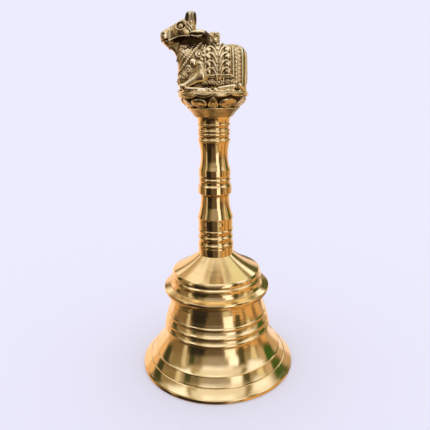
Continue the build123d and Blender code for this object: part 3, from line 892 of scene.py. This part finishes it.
def make_bull(material):
    voxel = 0.225
    low = np.array((-23.2, -11.9, 131.9))
    high = np.array((16.2, 11.9, 165.9))
    counts = np.ceil((high - low) / voxel).astype(int)
    x = (low[0] + voxel * np.arange(counts[0]))[:, None, None]
    y = (low[1] + voxel * np.arange(counts[1]))[None, :, None]
    z = (low[2] + voxel * np.arange(counts[2]))[None, None, :]
    side = np.abs(y)

    # Trunk: its plan, side view and end view together, with rounded edges, under its ornament.
    along = np.abs(x - PLINTH_CENTRE)
    plan = rounded_plan(along, side, TRUNK_HALF, TRUNK_CORNER)
    end = polygon_distance(y[0], z[0], TRUNK_END + [(-u, v) for u, v in TRUNK_END[::-1][1:]])[None]
    relief = ornament().sample(unrolled(x, y) + 0 * z, z + 0 * x + 0 * y)
    body = blend_max(blend_max(plan, side_view(x, z, TRUNK_SIDE), 1.6), end, 1.6) + 0.70 - relief
    body = blend_min(body, bull_legs(x, side, z), 0.5)
    gap = capsule(x, side, z, (-4.6, 10.1, 135.0), (1.4, 10.1, 134.85), 0.75, 0.50)
    body = blend_max(body, -gap, 0.2)

    # The edge under the legs rises and falls like the petals below it.
    waves = 0.22 * np.sin(12 * np.arctan2(y, x) + 0.6) + 0.12 * np.sin(29 * np.arctan2(y, x))
    plinth = rounded_plan(along, side, PLINTH_HALF, PLINTH_CORNER) + 0.25 - waves
    body = blend_min(body, blend_max(plinth, np.abs(z - 132.75 - waves) - 0.55, 0.9), 0.5)

    # Neck, drawn in under the head, with a row of beads and a boss.
    neck = blend_max(side_view(x, z, NECK), side - 4.1 - 0.30 * over(151.5 - z), 1.6)
    for column in np.arange(-13.2, -6.0, 0.95):
        neck = np.minimum(neck, length(x - column, z - 150.6 + 0.12 * (column + 9), side - 4.45) - 0.45)
    body = blend_min(body, neck, 0.7)
    body = blend_min(body, length(x + 9.3, side - 4.2, z - 152.7) - 0.75, 0.1)
    body = blend_min(body, bull_hump(x, side, z), 0.25)

    head, skin = bull_head(x, side, z)
    skin = skin - bull_eye(x, z) * smooth_step(side, 2.0, 3.2)
    body = blend_min(body, skin, 0.35)
    for band in bridle(x, side, z, head, skin):
        body = blend_min(body, band, 0.10)
    body = blend_min(body, bull_ear(x, side, z), 0.15)
    body = blend_min(body, bull_horns(x, side, z), 0.25)

    # The surface of a casting is never quite even.
    random = np.random.default_rng(5)
    for scale in (3.1, 1.7, 1.0):
        phase = random.uniform(0, 6.28, 2)
        tilt = random.normal(0, 1, (2, 3)) / scale
        waves = [np.sin(a * x + b * y + c * z + p) for (a, b, c), p in zip(tilt, phase)]
        body = body + 0.022 * scale * waves[0] * waves[1]
    body = np.maximum(body, 132.5 - z)
    stud_hole = np.maximum(length(x, y) - STUD_HOLE, z - 141.0)
    return cast("bull", np.maximum(body, -stud_hole), low, voxel, material, PAINTED_SHADE_PLACES)


# --------------------------------------------------- lotus

LOTUS_OUTLINE = [
    (8.4, 122.0), (8.75, 122.5), (10.2, 124.3), (11.6, 125.7), (12.9, 127.0), (14.0, 128.3),
    (14.9, 129.6), (15.25, 131.0), (15.35, 132.4),
]
PETALS = 6  # of each kind in the lower row, where broad ones and pointed ones take turns
PETAL_ROOT = 1.35  # how deep the hollows lie between the petals


def dome(u, v, power=1.0):
    """A rounded bump of height 1 inside the unit circle."""
    return np.sqrt(over(1 - u**2 - v**2)) ** power


def ridge(distance, width):
    return np.exp(-((distance / width) ** 2))


def lotus_outline(z):
    radii, heights = zip(*LOTUS_OUTLINE)
    return np.interp(z, heights, radii)


def lotus_radius(angle, z):
    """Radius of the lotus at an angle in degrees from a pointed petal, and a height."""
    angle = angle + 1.6 * np.sin(np.radians(3 * angle + 40)) + 1.1 * np.sin(np.radians(5 * angle))
    pitch = 360 / PETALS
    # Degrees from the middle of the nearest broad petal, and of the nearest pointed one.
    broad = (angle % pitch) - pitch / 2
    pointed = (angle + pitch / 2) % pitch - pitch / 2
    above_foot = smooth_step(z, 125.85, 126.1)
    # Lower row: swollen petals with a crescent slit, and pointed leaves between them.
    slit = 0.75 * ridge(length((broad - 3.0) / 6.5, (z - 126.95 + 0.005 * broad**2) / 0.40), 1.0)
    lower = 1.50 * dome(broad / 17.0, (z - 127.9) / 2.05, 0.7) - slit
    leaf_width = 13.5 * np.clip((131.2 - z) / 4.2, 0.1, 1)
    leaf_edge = 0.30 * ridge(np.abs(pointed) - 0.80 * leaf_width, 2.0)
    leaf_body = 1.15 * dome(pointed / leaf_width, (z - 128.0) / 2.6, 0.5)
    lower = np.maximum(lower, leaf_body + leaf_edge * (z > 126.3))
    # Upper row: petals turned down over the lower row as one wavy lip, parted where they meet.
    upper_pitch = pitch / 2
    lap = (angle % upper_pitch) - upper_pitch / 2
    drop = 1.9 * over(1 - (lap / 17.5) ** 2) ** 0.5
    edge = 132.1 - drop + 0.25 * np.sin(np.radians(2 * angle + 25))
    lip = smooth_step(z, edge - 0.12, edge + 0.25)
    curl = 0.42 * ridge(z - edge - 0.75, 0.62)
    parting = 0.38 * ridge(np.abs(lap) - 15.0, 1.5) * smooth_step(z, edge, edge + 0.5)
    upper = (PETAL_ROOT - 0.12 + curl - parting) * lip
    petals = np.maximum(lower, upper) - PETAL_ROOT
    foot_bead = 0.28 * ridge(z - 125.6, 0.22)
    petals = np.minimum(petals, 0.12) * above_foot
    return lotus_outline(z) + petals + foot_bead - 0.3 * smooth_step(z, 132.0, 132.5)


def make_lotus(material):
    around = 1080
    angles = np.arange(around) * 360.0 / around
    heights = [np.linspace(122.0, 125.2, 14), np.linspace(125.3, 132.5, 84)]
    heights = np.concatenate(heights)[:, None]
    radius = lotus_radius(angles[None, :], heights)
    proud = radius - lotus_outline(heights)
    smooth = proud.copy()
    for _ in range(16):
        smooth = (np.roll(smooth, 1, 1) + np.roll(smooth, -1, 1) + smooth) / 3
        smooth[1:-1] = (smooth[2:] + smooth[:-2] + smooth[1:-1]) / 3
    cavity = np.clip((smooth - proud) * 1.6, -1, 1)
    # Painted shade, near black, where the petals sink in below the smoothed outline.
    hollow = np.clip(-smooth * 0.9 - 0.35, 0, 1)
    # Painted shade darkens the cone under the petals.
    hollow = np.maximum(hollow, 0.45 * smooth_step(heights, 125.8, 125.3))
    # The top is closed in to the stud's bore, and the foot the same way.
    flat = np.zeros((3, around))
    radius = np.vstack([radius, flat + [[13.6], [2.7], [2.7]]])
    heights = np.vstack([heights, [[132.5], [132.5], [122.0]]])
    cavity = np.vstack([cavity, flat]).ravel()
    hollow = np.vstack([hollow, flat]).ravel()
    turned = np.radians(angles - 90.0)[None, :]
    grid = np.stack([radius * np.cos(turned), radius * np.sin(turned), heights + 0 * radius], -1)
    faces = round_faces(*radius.shape)
    return make_piece("lotus", grid.reshape(-1, 3), faces, material, cavity=cavity, hollow=hollow)


settle(make_bull(bronze), "bull_figure")
settle(make_lotus(bronze), "lotus_pedestal")

# ------------------------------------------------ hardware

for node in ("finial_stud", "hanger_bolt", "crown_washer", "hanger_nut", "clapper_link", "clapper_rod"):
    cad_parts[node].data.materials.clear()
    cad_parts[node].data.materials.append(steel)
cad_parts["clapper_ball"].data.materials.clear()
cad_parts["clapper_ball"].data.materials.append(ball_brass)

# --------------------------------- stage, light and camera

BACKDROP = rgb(0.847, 0.839, 1.0)


def make_floor():
    mesh = bpy.data.meshes.new("floor")
    size = 6.0
    corners = [(-size, -size, 0), (size, -size, 0), (size, size, 0), (-size, size, 0)]
    mesh.from_pydata(corners, [], [(0, 1, 2, 3)])
    material, nodes = new_material("floor")
    finish_material(nodes, Base_Color=BACKDROP, Roughness=1.0, Specular_IOR_Level=0.0)
    mesh.materials.append(material)
    floor = bpy.data.objects.new("floor", mesh)
    bpy.context.scene.collection.objects.link(floor)
    floor.visible_glossy = False


# What the brass mirrors: soft panels round the studio, each over the ones before it, in degrees, as
# (azimuth, half width, elevation, half height, soft edge, colour). Azimuth 0 is in front, 90 right.
PANELS = [
    # All round: floor, table edge, horizon, walls, ceiling.
    (0, 180, -74, 22, 6, (0.72, 0.42, 0.19)),
    (0, 62, -74, 20, 7, (0.10, 0.06, 0.03)),
    (0, 180, -42, 14, 6, (0.20, 0.13, 0.07)),
    (0, 180, -12, 18, 6, (0.22, 0.14, 0.07)),
    (0, 180, 22, 18, 8, (0.42, 0.34, 0.22)),
    (0, 180, 52, 16, 6, (0.95, 0.91, 0.82)),
    (0, 180, 80, 16, 8, (0.95, 0.86, 0.72)),
    # The table: orange wood to the right, shade to the left.
    (80, 44, -32, 23, 4, (0.80, 0.46, 0.18)),
    (-44, 50, -32, 22, 5, (0.035, 0.024, 0.016)),
    (-66, 5, -24, 10, 3, (0.24, 0.17, 0.09)),
    (-146, 40, -32, 16, 6, (0.80, 0.46, 0.20)),
    # Left.
    (-150, 24, -4, 24, 5, (1.25, 0.88, 0.66)),
    (-174, 8, 0, 26, 5, (0.90, 0.80, 0.80)),
    (-120, 7, 6, 22, 4, (0.95, 0.60, 0.32)),
    (-106, 7, 14, 20, 3, (0.05, 0.055, 0.02)),
    (-84, 14, -6, 16, 5, (0.26, 0.17, 0.08)),
    (-84, 12, 22, 12, 4, (0.30, 0.23, 0.11)),
    (-68, 4, 8, 24, 2, (0.80, 0.70, 0.52)),
    (-51, 7, 6, 22, 3, (0.06, 0.07, 0.025)),
    (-38, 7, 14, 14, 4, (0.20, 0.16, 0.10)),
    (-40, 16, -12, 16, 5, (0.025, 0.02, 0.015)),
    (-46, 9, 40, 8, 4, (0.50, 0.40, 0.24)),
    (-74, 16, 50, 10, 5, (1.38, 1.39, 1.50)),
    # In front.
    (-6, 15, -10, 18, 4, (0.14, 0.10, 0.06)),
    (-5, 18, 18, 14, 3, (0.42, 0.36, 0.30)),
    (0, 30, 36, 5, 5, (1.19, 1.18, 1.22)),
    (0, 34, 64, 6, 5, (1.52, 1.54, 1.67)),
    (30, 9, 18, 12, 3, (1.52, 1.52, 1.63)),
    (25, 11, -4, 12, 3, (1.45, 1.42, 1.40)),
    (22, 9, -24, 9, 3, (0.66, 0.58, 0.38)),
    (48, 6, 4, 24, 2, (0.09, 0.08, 0.03)),
    # Right.
    (64, 9, 12, 11, 3, (0.36, 0.29, 0.15)),
    (76, 16, 34, 12, 7, (1.28, 1.28, 1.36)),
    (74, 6, 6, 14, 3, (0.90, 0.78, 0.52)),
    (92, 7, 8, 14, 3, (0.62, 0.48, 0.30)),
    (108, 9, 14, 18, 3, (0.05, 0.12, 0.015)),
    (130, 10, -4, 18, 5, (0.60, 0.42, 0.25)),
    (152, 13, -8, 20, 5, (1.10, 0.86, 0.70)),
    (174, 7, 0, 24, 4, (0.25, 0.20, 0.14)),
    # Shade on the wood, which stripes the handle.
    (66, 4, -16, 12, 3, (0.34, 0.22, 0.10)),
    (98, 6, -16, 14, 4, (0.30, 0.18, 0.08)),
    # Dark window bars that stripe the rim.
    (54, 5, 52, 14, 3, (0.30, 0.23, 0.12)),
    (-52, 3, 56, 10, 2, (0.40, 0.32, 0.16)),
    (-98, 7, 50, 10, 4, (0.30, 0.26, 0.12)),
    # Behind, in level bands, which the crown spreads into rays: on the left,
    (-140, 26, 23, 2.5, 1.5, (0.20, 0.13, 0.07)),
    (-140, 26, 29, 2.5, 1.5, (1.25, 1.15, 1.05)),
    (-140, 26, 40, 8, 1.5, (0.78, 0.60, 0.40)),
    (-140, 26, 36, 1.0, 0.7, (0.24, 0.16, 0.08)),
    (-140, 26, 41, 0.8, 0.7, (0.30, 0.20, 0.10)),
    (-136, 30, 58, 10, 3, (1.15, 1.08, 1.00)),
    (-122, 22, 74, 4, 2, (0.55, 0.43, 0.27)),
    # and on the right,
    (142, 28, 22, 7, 2, (0.10, 0.11, 0.03)),
    (142, 26, 34, 3.5, 1.5, (1.50, 1.50, 1.55)),
    (140, 26, 43, 3, 2, (0.28, 0.24, 0.09)),
    (136, 30, 56, 9, 3, (0.92, 0.92, 0.64)),
    (124, 24, 71, 4, 2, (0.50, 0.41, 0.29)),
    # and overhead.
    (180, 22, 82, 5, 3, (1.80, 1.80, 1.90)),
]


def make_world():
    world = bpy.data.worlds.new("studio")
    bpy.context.scene.world = world
    world.use_nodes = True
    nodes = Nodes(world.node_tree)
    direction = nodes.add("ShaderNodeTexCoord").outputs["Generated"]
    xyz = nodes.add("ShaderNodeSeparateXYZ", {"Vector": direction}).outputs
    to_degrees = 180 / math.pi
    azimuth = nodes.math("ARCTAN2", xyz[0], nodes.math("MULTIPLY", xyz[1], -1.0))
    azimuth = nodes.math("MULTIPLY", azimuth, to_degrees)
    elevation = nodes.math("MULTIPLY", nodes.math("ARCSINE", xyz[2]), to_degrees)
    # A real room's edges are never straight.
    bend = nodes.add("ShaderNodeTexNoise", {"Vector": direction, "Scale": 3.2, "Detail": 4.0})
    bends = nodes.add("ShaderNodeSeparateColor", {"Color": bend.outputs["Color"]}).outputs
    azimuth = nodes.about_half(bends[0], 9.0, azimuth)
    elevation = nodes.about_half(bends[1], 12.0, elevation)
    colour = rgb(0.45, 0.36, 0.24)
    for middle, half_width, height, half_height, soft, panel in PANELS:
        away = nodes.math("WRAP", nodes.math("SUBTRACT", azimuth, middle), 180.0, -180.0)
        away = nodes.math("ABSOLUTE", away)
        across = nodes.ramp(away, half_width + soft, half_width - soft)
        away = nodes.math("ABSOLUTE", nodes.math("SUBTRACT", elevation, height))
        up = nodes.ramp(away, half_height + soft, half_height - soft)
        if half_width < 180:
            up = nodes.math("MULTIPLY", across, up)
        colour = nodes.mix(up, colour, rgb(*panel))
    # White light falls on everything, the camera sees the backdrop, and the brass mirrors the panels.
    path = nodes.add("ShaderNodeLightPath").outputs
    light = nodes.add("ShaderNodeBackground", {"Color": rgb(1, 1, 1)}).outputs[0]
    for ray, shade in (("Is Camera Ray", BACKDROP), ("Is Glossy Ray", colour)):
        seen = nodes.add("ShaderNodeBackground", {"Color": shade}).outputs[0]
        light = nodes.add("ShaderNodeMixShader", {0: path[ray], 1: light, 2: seen}).outputs[0]
    nodes.add("ShaderNodeOutputWorld", {"Surface": light})


def make_camera():
    """The photograph's view: close in, level with the top of the lotus, looking down a little."""
    data = bpy.data.cameras.new("camera")
    data.sensor_width = 36.0
    data.lens = 36.33
    camera = bpy.data.objects.new("camera", data)
    bpy.context.scene.collection.objects.link(camera)
    pitch, yaw, roll = 15.8, 0.05, -1.0
    turned = Matrix.Rotation(math.radians(yaw), 4, "Z")
    turned = turned @ Matrix.Rotation(math.radians(90 - pitch), 4, "X")
    turned = turned @ Matrix.Rotation(math.radians(roll), 4, "Z")
    camera.matrix_world = Matrix.Translation((0.0, -0.1986, 0.1324)) @ turned
    bpy.context.scene.camera = camera


make_floor()
make_world()
make_camera()
bpy.context.scene.view_settings.view_transform = "Standard"
